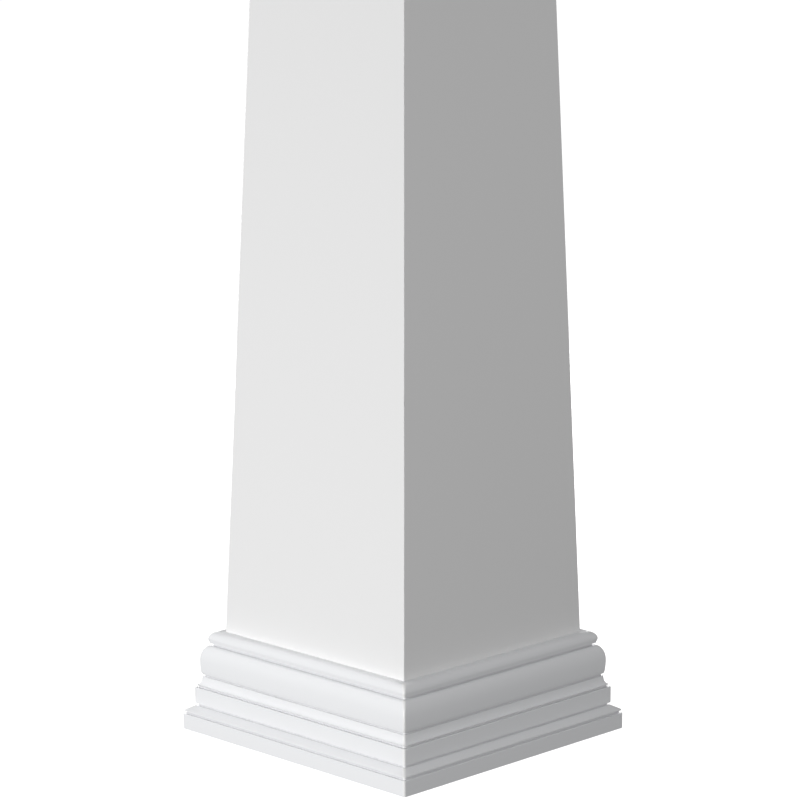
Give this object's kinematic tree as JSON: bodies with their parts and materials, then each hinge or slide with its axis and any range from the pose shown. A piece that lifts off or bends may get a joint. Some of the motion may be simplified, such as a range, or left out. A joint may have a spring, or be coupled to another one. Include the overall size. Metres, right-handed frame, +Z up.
{
  "type": "tapered square column",
  "caption": "Tapered square PVC column, hollow for a post, with a mitred moulded base trim and a plain cap trim.",
  "frame": {"origin": "centre of the column's footprint, on the floor", "axes": "+Z up along the column; the front faces -Y and the right side faces +X; the column is alike on all sides"},
  "size_m": [0.371, 0.371, 1.524],
  "materials": {
    "board_pvc": "white cellular PVC board, smooth and matt, with faint vertical extrusion marks",
    "moulding_pvc": "white PVC moulding, smooth satin, with crisp eased arrises"
  },
  "bodies": {
    "root": {"shaft_board_front": "board_pvc", "shaft_board_right": "board_pvc", "shaft_board_back": "board_pvc", "shaft_board_left": "board_pvc", "base_trim_front": "moulding_pvc", "base_trim_right": "moulding_pvc", "base_trim_back": "moulding_pvc", "base_trim_left": "moulding_pvc", "cap_trim_front": "moulding_pvc", "cap_trim_right": "moulding_pvc", "cap_trim_back": "moulding_pvc", "cap_trim_left": "moulding_pvc"}
  },
  "joints": []
}
